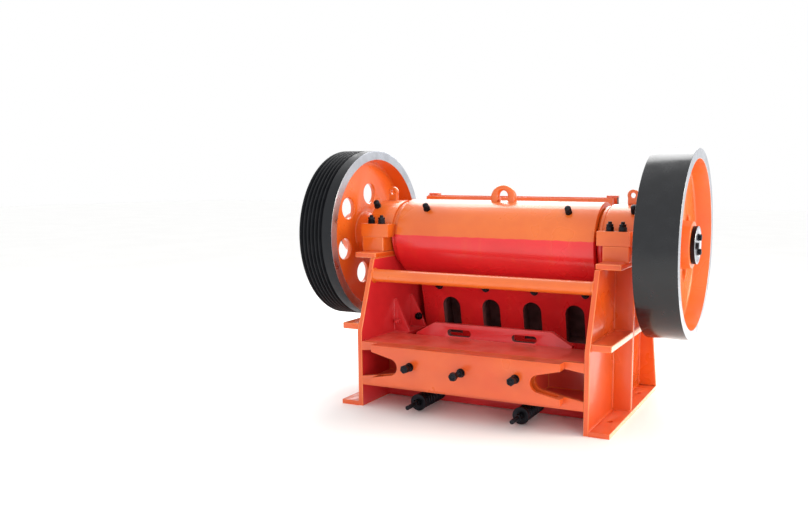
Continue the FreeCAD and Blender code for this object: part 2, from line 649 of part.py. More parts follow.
def wheel_web(inner_x):
    """Thin disc with round holes between hub and rim."""
    web_x = inner_x + (WHEEL_WIDTH - WEB) / 2
    disc = rod_x(RIM_IN_R - BODY_GAP, web_x, web_x + WEB).cut(rod_x(HUB_R + BODY_GAP, web_x - 1, web_x + WEB + 1))
    for k in range(WEB_HOLES):
        angle = math.radians(WEB_HOLE_PHASE + 360 / WEB_HOLES * k)
        y = WEB_HOLE_PITCH_R * math.cos(angle)
        z = SHAFT_Z + WEB_HOLE_PITCH_R * math.sin(angle)
        disc = disc.cut(rod_x(WEB_HOLE_R, web_x - 1, web_x + WEB + 1, y, z))
    return disc


def wheel_hub(inner_x):
    """Long hub on the shaft's end."""
    x0, x1 = inner_x + HUB_RECESS, inner_x + WHEEL_WIDTH - HUB_RECESS
    return rod_x(HUB_R, x0, x1).cut(rod_x(SHAFT_END_R + BODY_GAP, x0 - 1, x1 + 1))


def end_plate(inner_x):
    """Retaining plate on the shaft's end, with three bolt heads."""
    hub_face = inner_x + WHEEL_WIDTH - HUB_RECESS
    plate = rod_x(END_PLATE_R, hub_face, hub_face + END_PLATE)
    heads = []
    for angle in END_BOLT_ANGLES:
        y = END_BOLT_PITCH_R * math.cos(math.radians(angle))
        z = SHAFT_Z + END_BOLT_PITCH_R * math.sin(math.radians(angle))
        heads.append(hexagon(*END_BOLT, Vector(hub_face + END_PLATE, y, z), Vector(1, 0, 0)))
    return plate.multiFuse(heads).removeSplitter()


# ---------------------------------------------------------------- pitman
def swing_back_y(z):
    """Back of the swing jaw plate, which is the pitman's front face."""
    return SWING_TOP_Y - JAW_PLATE + JAW_SLOPE * (JAW_TOP_Z - z)


def pitman_back_y(z):
    return swing_back_y(z) - PITMAN_DEPTH


def pitman_lug(x):
    """Fork under the pitman, with a cross pin for the tension rod's eye."""
    cheeks = []
    for side in (-1, 1):
        x0 = x + side * (ROD_R + FORK_GAP)
        x1 = x0 + side * FORK
        outline = [(PIN_Y - 26, PIN_Z - 20), (PIN_Y + 26, PIN_Z - 20),
                   (PIN_Y + 60, PITMAN_BOTTOM_Z + 5), (PIN_Y - 30, PITMAN_BOTTOM_Z + 5)]
        cheeks.append(prism_x(outline, min(x0, x1), max(x0, x1)))
    reach = ROD_R + FORK_GAP + FORK
    pin = rod_x(PIN_R, x - reach, x + reach, PIN_Y, PIN_Z)
    return cheeks + [pin]


def pitman():
    top = JAW_TOP_Z - 6
    outline = [
        (swing_back_y(top), top), (swing_back_y(PITMAN_BOTTOM_Z), PITMAN_BOTTOM_Z),
        (RECESS_Y, PITMAN_BOTTOM_Z), (RECESS_Y, RECESS_TOP_Z),
        (pitman_back_y(RECESS_TOP_Z), RECESS_TOP_Z), (pitman_back_y(BARREL_Z - 150), BARREL_Z - 150),
        (BARREL_R * 0.55, BARREL_Z + BARREL_R * 0.7), (swing_back_y(top) - PITMAN_HORN, top),
    ]
    body = prism_x(outline, -PITMAN_HALF, PITMAN_HALF)
    body = body.fuse(rod_x(BARREL_R, -BARREL_HALF, BARREL_HALF, 0, BARREL_Z))
    for x in (-LUG_X, LUG_X):
        body = body.multiFuse(pitman_lug(x))
    hollow = BARREL_HALF - BARREL_SEAT
    body = body.cut(rod_x(BARREL_R - BARREL_WALL, -hollow, hollow, 0, BARREL_Z))
    body = body.cut(rod_x(ECCENTRIC_R + RUNNING_GAP, -BARREL_HALF - 1, BARREL_HALF + 1, 0, BARREL_Z))
    for k in range(POCKETS):
        x = (k - (POCKETS - 1) / 2) * POCKET_PITCH
        body = body.cut(pitman_cavity(x)).cut(pitman_window(x))
    return body.cut(beyond_jaw_seat()).removeSplitter()


def beyond_jaw_seat():
    """Space in front of the flat seat of the swing jaw plate; it trims the barrel."""
    high, low = JAW_TOP_Z + 100, PITMAN_BOTTOM_Z - 100
    outline = [(swing_back_y(high), high), (swing_back_y(low), low), (swing_back_y(low) + 500, low),
               (swing_back_y(low) + 500, high)]
    return prism_x(outline, -BARREL_HALF - 1, BARREL_HALF + 1)


def pitman_cavity(x):
    """Hollow between the front and back skins, between two ribs."""
    half = POCKET_PITCH / 2 - POCKET_RIB / 2
    z0, z1 = POCKET_BOTTOM_Z, BARREL_Z - BARREL_R - 30
    outline = [(pitman_back_y(z0) + PITMAN_SKIN, z0), (swing_back_y(z0) - PITMAN_SKIN, z0),
               (swing_back_y(z1) - PITMAN_SKIN, z1), (pitman_back_y(z1) + PITMAN_SKIN, z1)]
    return prism_x(outline, x - half, x + half)


def pitman_window(x):
    """Arch-topped window in the back skin."""
    r = POCKET_WIDTH / 2
    y0, y1 = pitman_back_y(POCKET_TOP_Z) - 100, pitman_back_y(POCKET_BOTTOM_Z) + PITMAN_SKIN + 5
    spring_z = POCKET_TOP_Z - r
    window = box(x - r, x + r, y0, y1, POCKET_BOTTOM_Z, spring_z)
    return window.fuse(rod_y(r, y0, y1, x, spring_z))


def pitman_seat():
    """Hard seat that faces the toggle plate's round end."""
    return box(-TOGGLE_HALF, TOGGLE_HALF, SEAT_INSERT_Y, RECESS_Y,
               TOGGLE_FRONT_Z - SEAT_INSERT_HALF, TOGGLE_FRONT_Z + SEAT_INSERT_HALF)


def swing_jaw_plate():
    outline = toothed_outline(JAW_HALF, swing_back_y(JAW_BOTTOM_Z), JAW_PLATE, 1, True)
    rise = JAW_TOP_Z - JAW_BOTTOM_Z
    return extruded(outline, JAW_BOTTOM_Z, Vector(0, -JAW_SLOPE * rise, rise))


def lifting_ring():
    ring = rod_y(RING_R, RING_Y - RING_THICK / 2, RING_Y + RING_THICK / 2, 0, RING_Z)
    ring = ring.cut(rod_y(RING_HOLE_R, RING_Y - RING_THICK, RING_Y + RING_THICK, 0, RING_HOLE_Z))
    return ring.cut(rod_x(BARREL_R, -RING_R - 1, RING_R + 1, 0, BARREL_Z))


# ---------------------------------------------------------------- write every node
os.makedirs("parts", exist_ok=True)

save_pair("side_wall", [side_wall()])
save_pair("foot_flange", [foot_flange()])
save_pair("seat_plate", [seat_plate()])
save_pair("bearing_housing", [bearing_housing()])
save_pair("bearing_cap", [bearing_cap()])
save_pair("guide_bracket", [guide_bracket()])
save_pair("cheek_plate", [cheek_plate()])
save_both("shelf_ribs", shelf_ribs())
save_both("upright_ribs", upright_ribs())
save_both("tension_rods", [tension_rod()])
save_both("seal_rings", [seal_ring()])
save_both("cap_bolts", cap_bolts())
save_both("cap_eyes", [cap_eye()])
save_both("tension_springs", [tension_spring()])

save("beam_wall", beam_wall())
save("beam_face", beam_face())
save("beam_box", beam_box())
save("spring_seat_bar", spring_seat_bar())
save("adjusting_bolts", *adjusting_bolts())
save("tie_tube", tie_tube())
save("shim_pack", *shims())
save("toggle_block", toggle_block())
save("toggle_plate", toggle_plate())
save("front_wall", front_wall())
save("front_wall_ribs", *front_ribs())
save("fixed_jaw_plate", fixed_jaw_plate())

save("eccentric_shaft", shaft())
save("flywheel_rim", wheel_rim(FLYWHEEL_IN_X, False))
save("flywheel_web", wheel_web(FLYWHEEL_IN_X))
save("flywheel_hub", wheel_hub(FLYWHEEL_IN_X))
save("sheave_rim", mirrored(wheel_rim(SHEAVE_IN_X, True)))
save("sheave_web", mirrored(wheel_web(SHEAVE_IN_X)))
save("sheave_hub", mirrored(wheel_hub(SHEAVE_IN_X)))
save("end_plates", end_plate(FLYWHEEL_IN_X), mirrored(end_plate(SHEAVE_IN_X)))

save("pitman", pitman())
save("swing_jaw_plate", swing_jaw_plate())
save("pitman_seat", pitman_seat())
save("lifting_ring", lifting_ring())
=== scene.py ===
import json
import math

import bmesh
import bpy
import numpy as np
from mathutils import Matrix, Vector


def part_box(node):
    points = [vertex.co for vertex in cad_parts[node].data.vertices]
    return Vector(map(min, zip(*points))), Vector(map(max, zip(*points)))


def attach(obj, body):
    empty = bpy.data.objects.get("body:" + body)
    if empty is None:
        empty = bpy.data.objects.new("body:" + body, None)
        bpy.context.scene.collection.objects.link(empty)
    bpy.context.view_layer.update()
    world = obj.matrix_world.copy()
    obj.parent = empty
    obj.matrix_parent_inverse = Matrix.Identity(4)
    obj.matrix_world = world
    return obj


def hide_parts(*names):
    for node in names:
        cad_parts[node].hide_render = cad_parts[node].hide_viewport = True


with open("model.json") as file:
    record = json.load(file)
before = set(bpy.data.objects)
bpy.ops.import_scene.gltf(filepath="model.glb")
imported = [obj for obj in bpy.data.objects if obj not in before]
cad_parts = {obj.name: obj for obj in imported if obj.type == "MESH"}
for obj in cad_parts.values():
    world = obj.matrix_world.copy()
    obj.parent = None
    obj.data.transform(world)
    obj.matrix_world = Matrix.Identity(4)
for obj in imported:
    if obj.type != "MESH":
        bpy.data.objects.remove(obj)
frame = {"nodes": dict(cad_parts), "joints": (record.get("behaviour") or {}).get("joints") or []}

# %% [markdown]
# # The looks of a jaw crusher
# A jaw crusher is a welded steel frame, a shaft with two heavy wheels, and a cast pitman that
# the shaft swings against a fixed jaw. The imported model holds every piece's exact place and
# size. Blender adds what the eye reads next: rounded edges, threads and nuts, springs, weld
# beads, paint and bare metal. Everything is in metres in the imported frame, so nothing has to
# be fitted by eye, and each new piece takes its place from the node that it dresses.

MM = 0.001
FULL = 2 * math.pi
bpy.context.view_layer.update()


def low(node):
    """Lowest corner of a node's box."""
    return np.array(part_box(node)[0])


def high(node):
    """Highest corner of a node's box."""
    return np.array(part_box(node)[1])


JOINT_AT = {joint["name"]: np.array(joint["pos_m"]) for joint in frame["joints"]}
SHAFT, BARREL = JOINT_AT["shaft_spin"], JOINT_AT["pitman_swing"]
WALL_IN, WALL_OUT = low("side_wall_right")[0], high("side_wall_right")[0]
BARREL_R = 225 * MM
CAP_R = 205 * MM

# %% [markdown]
# ## Camera
# The camera stands behind the machine's right rear corner, 1.3 m up, turned 23 degrees.
# It could be aimed with a constraint, but a plain matrix from three angles is exact and has
# no hidden target. Sideways shift moves the machine off the middle of the frame and keeps
# its upright lines as they are.

# %% Camera
turn, pitch, roll = (math.radians(angle) for angle in (23.2139, 7.9495, 0.3071))
ahead = Vector((-math.sin(turn) * math.cos(pitch), math.cos(turn) * math.cos(pitch), -math.sin(pitch)))
level = Vector((math.cos(turn), math.sin(turn), 0))
above = level.cross(ahead)
right = level * math.cos(roll) + above * math.sin(roll)
up = above * math.cos(roll) - level * math.sin(roll)
lens = bpy.data.cameras.new("camera")
lens.lens, lens.shift_x, lens.shift_y = 35.384, -0.1266, 0.0426
camera = bpy.data.objects.new("camera", lens)
camera.matrix_world = Matrix((right, up, -ahead)).transposed().to_4x4()
camera.location = (1.8034, -4.1928, 1.2799)
bpy.context.collection.objects.link(camera)
bpy.context.scene.camera = camera
print("camera looks along", [round(v, 3) for v in ahead])

# %% [markdown]
# ## Light
# Gloss paint shows its shape by what it reflects. A white room alone would leave the barrel
# flat, so one wide soft light hangs behind and above the machine: the barrel and the wheels
# mirror it as a white band along their tops. A warmer light on the flywheel's side fills the
# dished wheels, and a weak one near the camera opens the frame's outer recesses.


# %% Light
def add_light(name, place, target, size, power, colour=(1, 1, 1)):
    """Soft rectangular light, of width and height size in metres and power in watts."""
    data = bpy.data.lights.new(name, "AREA")
    data.shape, data.size, data.size_y = "RECTANGLE", *size
    data.energy, data.color = power, colour
    light = bpy.data.objects.new(name, data)
    light.location = place
    light.rotation_euler = (Vector(target) - Vector(place)).to_track_quat("-Z", "Y").to_euler()
    bpy.context.collection.objects.link(light)


world = bpy.data.worlds.new("room")
world.use_nodes = True
world.node_tree.nodes["Background"].inputs["Color"].default_value = (1, 1, 1, 1)
world.node_tree.nodes["Background"].inputs["Strength"].default_value = 1.0
bpy.context.scene.world = world
bpy.context.scene.view_settings.view_transform = "Standard"
add_light("back", (-1.1, 2.7, 3.7), (-0.2, 0, 1.1), (4.6, 3.4), 215, (1, 1, 1))
add_light("right", (5.0, 0.8, 3.0), (0, 0, 0.8), (2.4, 2.4), 175, (1, 0.90, 0.74))
add_light("fill", (4.4, -3.8, 1.2), (0.7, 0, 0.5), (2.0, 1.6), 75)

# %% [markdown]
# ## A small kit for materials
# Every finish is a node tree. One function turns an sRGB code into linear light, and one
# class adds a node with its settings and links. Patterns read Object coordinates, which are
# metres here, so a blotch of 70 mm is written as 70.


# %% Colour and nodes
def linear(code):
    """Linear RGBA of an sRGB hex code."""
    values = [int(code[k:k + 2], 16) / 255 for k in (0, 2, 4)]
    return (*[v / 12.92 if v < 0.04045 else ((v + 0.055) / 1.055) ** 2.4 for v in values], 1.0)


class Shader:
    """A material's node tree, with one short call per node."""

    def __init__(self, name):
        self.material = bpy.data.materials.new(name)
        self.material.use_nodes = True
        self.tree = self.material.node_tree
        self.surface = self.tree.nodes["Principled BSDF"]
        self.place = self.add("TexCoord").outputs["Object"]

    def put(self, node, key, value):
        socket = node.inputs[key]
        if isinstance(value, bpy.types.NodeSocket):
            self.tree.links.new(value, socket)
        else:
            socket.default_value = value

    def add(self, kind, inputs=(), **settings):
        node = self.tree.nodes.new("ShaderNode" + kind)
        for key, value in settings.items():
            setattr(node, key, value)
        for key, value in dict(inputs).items():
            self.put(node, key, value)
        return node

    def set(self, **inputs):
        for key, value in inputs.items():
            self.put(self.surface, key.replace("_", " "), value)

    def noise(self, length_mm, detail=2.0, stretch=None):
        """Noise between about 0.3 and 0.7 whose blotches are length_mm across."""
        place = self.place
        if stretch:
            place = self.add("VectorMath", {0: place, 1: stretch}, operation="MULTIPLY").outputs[0]
        inputs = {"Vector": place, "Scale": 1 / (length_mm * MM), "Detail": detail}
        return self.add("TexNoise", inputs).outputs["Fac"]

    def span(self, value, start, end, to_low=0.0, to_high=1.0):
        """Value moved from the range start to end onto the range to_low to to_high."""
        return self.add("MapRange", {"Value": value, "From Min": start, "From Max": end,
                                     "To Min": to_low, "To Max": to_high}).outputs["Result"]

    def sum(self, kind, a, b):
        return self.add("Math", {0: a, 1: b}, operation=kind).outputs[0]

    def mix(self, share, a, b):
        return self.add("Mix", {0: share, 6: a, 7: b}, data_type="RGBA").outputs[2]

    def bump(self, height, depth_mm, under=None):
        inputs = {"Height": height, "Distance": depth_mm * MM, "Strength": 1.0}
        if under:
            inputs["Normal"] = under
        return self.add("Bump", inputs).outputs["Normal"]

    def axis(self, name):
        return self.add("SeparateXYZ", {0: self.place}).outputs[name.upper()]

    def upward(self):
        """How far the surface looks up, from -1 to 1."""
        return self.add("SeparateXYZ", {0: self.add("NewGeometry").outputs["Normal"]}).outputs["Z"]


# %% [markdown]
# ## Floor
# A plain pale floor, smooth enough to look clean and dull enough not to mirror the machine.

# %% Floor
ground = bpy.data.meshes.new("floor")
ground.from_pydata([(-30, -30, 0), (30, -30, 0), (30, 30, 0), (-30, 30, 0)], [], [(0, 1, 2, 3)])
pale = Shader("pale_floor")
pale.set(Base_Color=pale.mix(pale.span(pale.noise(900, 3), 0.4, 0.6), linear("FFFFFE"), linear("FDFDFC")),
         Roughness=0.6)
ground.materials.append(pale.material)
floor = bpy.data.objects.new("floor", ground)
bpy.context.collection.objects.link(floor)

# %% [markdown]
# ## Enamel
# The real machine is sprayed with alkyd machine enamel over primer. It is glossy (IOR 1.5,
# not metallic, roughness about 0.3) and thick enough to hide the steel. The eye knows it by
# a fine orange peel, by slight runs, by shade that wanders over a hand's breadth, and by
# dust on level faces that dulls the gloss. A picture could carry all that, but noise in
# millimetres stays sharp at any distance. Castings get a second, coarser ripple from the
# sand mould. The pitman's paint turns red at a line 14 mm above the shaft's axis: on the
# barrel's lower half, which faces down, that red is painted shade.


# %% Enamel
def enamel(name, colour, deep, rough=0.3, cast=False, below=None):
    """Gloss paint from colour to deep. below is a pair of codes for a red under a line which
    runs 14 mm above the shaft's axis and wavers by 2 mm; on the barrel's lower half that red
    is painted shade."""
    s = Shader(name)
    broad, fine = s.noise(260, 3), s.noise(7, 2)
    shade = s.mix(s.span(broad, 0.35, 0.65), linear(colour), linear(deep))
    # Red below the line: on the barrel's lower half, which faces down, it is painted shade.
    if below:
        line = s.sum("ADD", s.axis("z"), s.span(s.noise(60), 0.3, 0.7, -2 * MM, 2 * MM))
        second = s.mix(s.span(broad, 0.35, 0.65), linear(below[0]), linear(below[1]))
        shade = s.mix(s.span(line, SHAFT[2] + 13.5 * MM, SHAFT[2] + 14.5 * MM), second, shade)
    runs = s.span(s.noise(45, 2, (1, 1, 0.12)), 0.55, 0.75, 0, 0.12)
    shade = s.mix(runs, shade, linear(deep))
    level = s.span(s.upward(), 0.75, 1.0)
    dust = s.sum("MULTIPLY", level, s.span(s.noise(90, 4), 0.35, 0.8, 0.02, 0.14))
    shade = s.mix(dust, shade, linear("E8D8C4"))
    peel = s.bump(fine, 0.12)
    peel = s.bump(s.noise(32, 2), 0.12, peel) if cast else s.bump(s.noise(220, 1), 0.35, peel)
    dulled = s.sum("ADD", broad, s.sum("MULTIPLY", dust, 2.0))
    s.set(Base_Color=shade, Normal=peel, Coat_Weight=0.5, Coat_Roughness=0.18 if cast else 0.12,
          Roughness=s.span(dulled, 0.3, 0.9, rough - 0.06, rough + 0.22))
    return s.material


ORANGE = enamel("orange_enamel", "DE5C1C", "D64E18")
# Paler orange for rounded edges: a painted highlight.
ORANGE_EDGE_HIGHLIGHT = enamel("orange_edge_painted_highlight", "EA7E40", "E46C30", 0.26)
# Cream orange for the outer rims of flanges and shelves: a painted highlight.
ORANGE_RIM_HIGHLIGHT = enamel("orange_rim_painted_highlight", "F6C6A0", "F4B488", 0.24)
ORANGE_CAST = enamel("orange_cast", "E46C20", "DC601A", 0.30, cast=True)
RED = enamel("red_enamel", "D82C30", "C82428", 0.34)
# Paler red for rounded edges: a painted highlight.
RED_EDGE_HIGHLIGHT = enamel("red_edge_painted_highlight", "E0504A", "D0423E", 0.28)
BEAM_RED = enamel("beam_red", "E85036", "DA4430", 0.36)
# Orange above the line, red below it; the red on the barrel's lower half is painted shade.
PITMAN_SHADED_BELOW = enamel("pitman_enamel", "E46E22", "DC621C", 0.28, cast=True, below=("E6262A", "DC2024"))
print("enamels", sum(material.use_nodes for material in bpy.data.materials) - 1)

# %% [markdown]
# ## Metals and black finishes
# The wheels' treads are turned steel under a thin glossy black paint (IOR 1.5, roughness
# about 0.2), and the belt grooves carry a duller coat. The rims' sides and the end plates
# are bare turned steel: metallic, roughness 0.3, with fine rings. A lathe leaves rings
# 0.3 mm apart, and they are drawn 2 mm apart here so that they show. The jaws are cast
# manganese steel, dark and rough. The pitman's pockets and the shims' slots get a dark,
# rough red-brown that is painted shade for their depth. Nuts, springs and rods are steel
# with black oxide, satin and almost black.


# %% Metals and black finishes
def steel(name, colour, dark, rough, rings=False, metallic=1.0, grain=8, **more):
    """Stained metal or thin paint on metal. grain is the size of its roughness in mm; rings
    adds the circles that a lathe leaves, round the shaft's axis."""
    s = Shader(name)
    stains = s.noise(70, 5)
    shade = s.mix(s.span(stains, 0.4, 0.75), linear(colour), linear(dark))
    normal = s.bump(s.noise(grain, 3), 0.10)
    if rings:
        centred = s.add("VectorMath", {0: s.place, 1: (0, -SHAFT[1], -SHAFT[2])}, operation="ADD").outputs[0]
        wave = s.add("TexWave", {"Vector": centred, "Scale": 150.0, "Distortion": 0.4, "Detail": 1.0},
                     wave_type="RINGS", rings_direction="X").outputs["Fac"]
        normal = s.bump(wave, 0.05, normal)
    s.set(Base_Color=shade, Metallic=metallic, Normal=normal,
          Roughness=s.span(stains, 0.3, 0.7, rough - 0.05, rough + 0.12), **more)
    return s.material


TREAD = steel("tread_black", "121418", "181A1E", 0.18, metallic=0.0, grain=3,
              Specular_IOR_Level=0.4, Coat_Weight=0.15, Coat_Roughness=0.05)
GROOVE = steel("groove_black", "181A1E", "1E2024", 0.5, metallic=0.0, grain=3, Specular_IOR_Level=0.25)
TURNED = steel("turned_steel", "C6CAD2", "A8ACB4", 0.30, rings=True)
SHAFT_STEEL = steel("shaft_steel", "A8ACB2", "7E8086", 0.32, rings=True)
MANGANESE = steel("manganese_steel", "6A6660", "4A443E", 0.5, grain=14)
# Dark red-brown for the pockets and slots: painted shade in recesses.
RECESS_SHADE = steel("recess_painted_shade", "7A4E4C", "5A3635", 0.7, metallic=0.0, grain=14)
BLACK = steel("black_oxide", "242428", "333338", 0.38, grain=4)

# %% [markdown]
# ## Shells
# A shell is a pair: an array of points and a list of faces. Each one is worked out at the
# origin along +Z and then aimed, which keeps its formula short. Lofted grids cover most
# shapes here, because nuts, springs, tubes and beads are all one profile carried round or
# along something.


# %% Grids and outlines
def grid(points, closed=(False, False)):
    """Surface through points[i, j], with one quad between each four neighbours."""
    rows, cols = points.shape[:2]
    index = np.arange(rows * cols).reshape(rows, cols)
    if closed[0]:
        index = np.vstack([index, index[:1]])
    if closed[1]:
        index = np.hstack([index, index[:, :1]])
    quads = np.stack([index[:-1, :-1], index[1:, :-1], index[1:, 1:], index[:-1, 1:]], -1)
    return points.reshape(-1, 3), quads.reshape(-1, 4).tolist()


def rounded(corners, radius, steps=4):
    """Closed outline whose corners become short parabolic arcs. An arc starts and ends at
    the radius over the tangent of half the corner's angle, and its points are the weighted
    mean of start, corner and end with weights (1-t) squared, 2t(1-t) and t squared."""
    corners = np.array(corners, float)
    radii = np.broadcast_to(np.array(radius, float), (len(corners),))
    outline = []
    for k, here in enumerate(corners):
        before, after = corners[k - 1] - here, corners[(k + 1) % len(corners)] - here
        long_a, long_b = np.linalg.norm(before), np.linalg.norm(after)
        if radii[k] <= 0:
            outline.append(here)
            continue
        cosine = np.clip(before @ after / (long_a * long_b), -1, 1)
        cut = min(radii[k] / max(math.tan(math.acos(cosine) / 2), 0.2), 0.45 * long_a, 0.45 * long_b)
        start, end = here + before / long_a * cut, here + after / long_b * cut
        for t in np.linspace(0, 1, steps + 1):
            outline.append((1 - t) ** 2 * start + 2 * t * (1 - t) * here + t ** 2 * end)
    return np.array(outline)


def joined(shells):
    """One shell from several."""
    points, faces, count = [], [], 0
    for some, more in shells:
        points.append(some)
        faces += [[i + count for i in face] for face in more]
        count += len(some)
    return np.vstack(points), faces


# %% Turning, aiming and sweeping
def lathe(outline, segments=64, ring=True):
    """Outline of (radius, height) turned about Z: x is radius times the cosine of the angle
    and y radius times its sine. A ring's outline closes on itself; a solid's starts and
    ends on the axis."""
    outline = np.array(outline, float)
    angle = np.linspace(0, FULL, segments, endpoint=False)[:, None]
    points = np.stack([outline[:, 0] * np.cos(angle), outline[:, 0] * np.sin(angle),
                       outline[:, 1] + 0 * angle], -1)
    return grid(points, (True, ring))


def aim(shell, origin, axis=(0, 0, 1), turn=0.0):
    """Shell turned about its own Z, then pointed along axis and moved to origin."""
    points, faces = shell
    spin = Vector(axis).normalized().to_track_quat("Z", "Y").to_matrix() @ Matrix.Rotation(turn, 3, "Z")
    return points @ np.array(spin).T + np.array(origin, float), faces


def mirror(shell):
    """The same shell on the machine's other side."""
    points, faces = shell
    return points * np.array([-1, 1, 1]), faces


def sweep(path, radius, sides=12, side_hint=(0, 0, 1)):
    """Tube: a circle of the given radius, or one per point, carried square to the path."""
    path = np.array(path, float)
    radius = np.broadcast_to(np.array(radius, float), (len(path),))
    ahead = np.gradient(path, axis=0)
    ahead /= np.linalg.norm(ahead, axis=1)[:, None]
    side = np.cross(ahead, np.array(side_hint, float))
    side /= np.linalg.norm(side, axis=1)[:, None]
    other = np.cross(ahead, side)
    angle = np.linspace(0, FULL, sides, endpoint=False)
    ring = side[:, None] * np.cos(angle)[:, None] + other[:, None] * np.sin(angle)[:, None]
    return grid(path[:, None] + ring * radius[:, None, None], (False, True))


# %% [markdown]
# ## Pieces
# A piece is a mesh object that rides on a body, so it moves with that body's joint. It may
# stand for CAD nodes, which then only serve collision. Plates and castings are copies of
# their own CAD node: the copy is merged, its flat faces are joined again, and a Bevel
# modifier rounds its edges. That keeps every hole and slot exact, and the painted highlight
# on an edge, a paler paint, is the bevel's own material.


# %% Pieces
def settle(obj, body, nodes):
    """Hang an object on its body, and print what was made."""
    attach(obj, body)
    if nodes:
        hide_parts(*nodes)
    print(f"{obj.name}: {len(obj.data.polygons)} faces on {body}")
    return obj


def finish_mesh(mesh, materials, choose, sharp):
    """Give a mesh its materials. choose(centres, normals) gives each face's material number."""
    for material in materials:
        mesh.materials.append(material)
    count = len(mesh.polygons)
    if choose:
        centres, normals = np.empty(count * 3), np.empty(count * 3)
        mesh.polygons.foreach_get("center", centres)
        mesh.polygons.foreach_get("normal", normals)
        numbers = choose(centres.reshape(-1, 3), normals.reshape(-1, 3))
        mesh.polygons.foreach_set("material_index", np.asarray(numbers, dtype=np.int32))
    mesh.polygons.foreach_set("use_smooth", np.ones(count, dtype=bool))
    if sharp:
        mesh.set_sharp_from_angle(angle=math.radians(sharp))
    mesh.update()


def piece(name, shells, materials, body, nodes=(), choose=None, sharp=38):
    """Mesh object from shells, merged and with its faces turned outward."""
    points, faces = joined(shells)
    mesh = bpy.data.meshes.new(name)
    mesh.from_pydata(points.tolist(), [], faces)
    work = bmesh.new()
    work.from_mesh(mesh)
    bmesh.ops.remove_doubles(work, verts=work.verts, dist=1e-6)
    bmesh.ops.recalc_face_normals(work, faces=work.faces)
    work.to_mesh(mesh)
    work.free()
    finish_mesh(mesh, materials, choose, sharp)
    obj = bpy.data.objects.new(name, mesh)
    bpy.context.collection.objects.link(obj)
    return settle(obj, body, nodes)


def soften(node, materials, radius_mm, body="frame", edge=None, steps=3, choose=None):
    """Copy of a CAD node with rounded edges, which may have a paler edge material: a painted highlight along
    the rounding.
    """
    source = frame["nodes"][node]
    mesh = source.data.copy()
    mesh.materials.clear()
    mesh.transform(source.matrix_world)
    work = bmesh.new()
    work.from_mesh(mesh)
    bmesh.ops.remove_doubles(work, verts=work.verts, dist=1e-6)
    bmesh.ops.dissolve_degenerate(work, edges=work.edges, dist=1e-6)
    bmesh.ops.dissolve_limit(work, angle_limit=math.radians(0.5), verts=work.verts, edges=work.edges)
    work.to_mesh(mesh)
    work.free()
    finish_mesh(mesh, materials + ([edge] if edge else []), choose, 0)
    obj = bpy.data.objects.new(node + "_finished", mesh)
    bpy.context.collection.objects.link(obj)
    bevel = obj.modifiers.new("round", "BEVEL")
    bevel.width, bevel.segments = radius_mm * MM, steps
    bevel.limit_method, bevel.angle_limit = "ANGLE", math.radians(32)
    bevel.harden_normals = True
    # The bevel's own faces take the paler edge paint, a painted highlight.
    if edge:
        bevel.material = len(materials)
    return settle(obj, body, [node])


# %% [markdown]
# ## Side walls, flanges and ribs
# The two side walls are flame-cut plates of 28 mm with a foot flange, a shelf and upright
# ribs welded outside, and the plates that carry the bearings on top. The walls were painted
# twice: orange outside and red inside. The flanges' and shelves' long outer edges catch the
# light and look almost cream, so a painted highlight, a pale cream orange, is put on them.


# %% Side walls, flanges and ribs
def wall_sides(centres, normals):
    """0 outside, 1 on the face that looks inward."""
    return (normals[:, 0] * np.sign(centres[:, 0]) < -0.9).astype(int)


def outer_rims(centres, normals):
    """1 on the narrow faces that look straight outward at the piece's ends, which get a painted highlight."""
    reach = np.abs(centres[:, 0])
    return ((normals[:, 0] * np.sign(centres[:, 0]) > 0.9) & (reach > reach.max() - 2 * MM)).astype(int)


for side in ("left", "right"):
    soften("side_wall_" + side, [ORANGE, RED], 4, edge=ORANGE_EDGE_HIGHLIGHT, choose=wall_sides)
    soften("foot_flange_" + side, [ORANGE, ORANGE_RIM_HIGHLIGHT], 4, edge=ORANGE_EDGE_HIGHLIGHT, choose=outer_rims)
    soften("seat_plate_" + side, [ORANGE], 5, edge=ORANGE_EDGE_HIGHLIGHT)
soften("shelf_ribs", [ORANGE, ORANGE_RIM_HIGHLIGHT], 4, edge=ORANGE_EDGE_HIGHLIGHT, choose=outer_rims)
soften("upright_ribs", [ORANGE], 4, edge=ORANGE_EDGE_HIGHLIGHT)
soften("front_wall", [ORANGE], 5, edge=ORANGE_EDGE_HIGHLIGHT)
soften("front_wall_ribs", [ORANGE], 4, edge=ORANGE_EDGE_HIGHLIGHT)

# %% [markdown]
# ## Rear beam and toggle seat
# The rear beam takes the crushing force through the toggle plate. Its proud face is a folded
# plate, so it gets a wider rounding than flame-cut plate does. Inside, everything is red:
# the box, the shims with their hand slots, the toggle block and the brackets that guide it.
# A slot's inner faces are a dark red-brown, painted shade in the slot's depth.


# %% Rear beam and toggle seat
def slot_walls(centres, normals):
    """1 on the faces inside the shims' hand slots, which get painted shade."""
    top = high("beam_box")[2]
    across = np.abs(np.abs(centres[:, 0]) - 200 * MM) < 76 * MM
    return (across & (centres[:, 2] > top + 3 * MM) & (centres[:, 2] < top + 48 * MM)
            & (np.abs(normals[:, 1]) < 0.5)).astype(int)


soften("beam_wall", [ORANGE], 4, edge=ORANGE_EDGE_HIGHLIGHT)
soften("beam_face", [ORANGE], 11, edge=ORANGE_EDGE_HIGHLIGHT, steps=5)
soften("beam_box", [BEAM_RED], 4, edge=ORANGE_EDGE_HIGHLIGHT)
soften("spring_seat_bar", [RED], 4)
soften("shim_pack", [RED, RECESS_SHADE], 3, edge=RED_EDGE_HIGHLIGHT, choose=slot_walls)
soften("toggle_block", [RED], 4, edge=RED_EDGE_HIGHLIGHT)
soften("toggle_plate", [RED], 2)
for side in ("left", "right"):
    soften("guide_bracket_" + side, [RED], 3, edge=RED_EDGE_HIGHLIGHT)

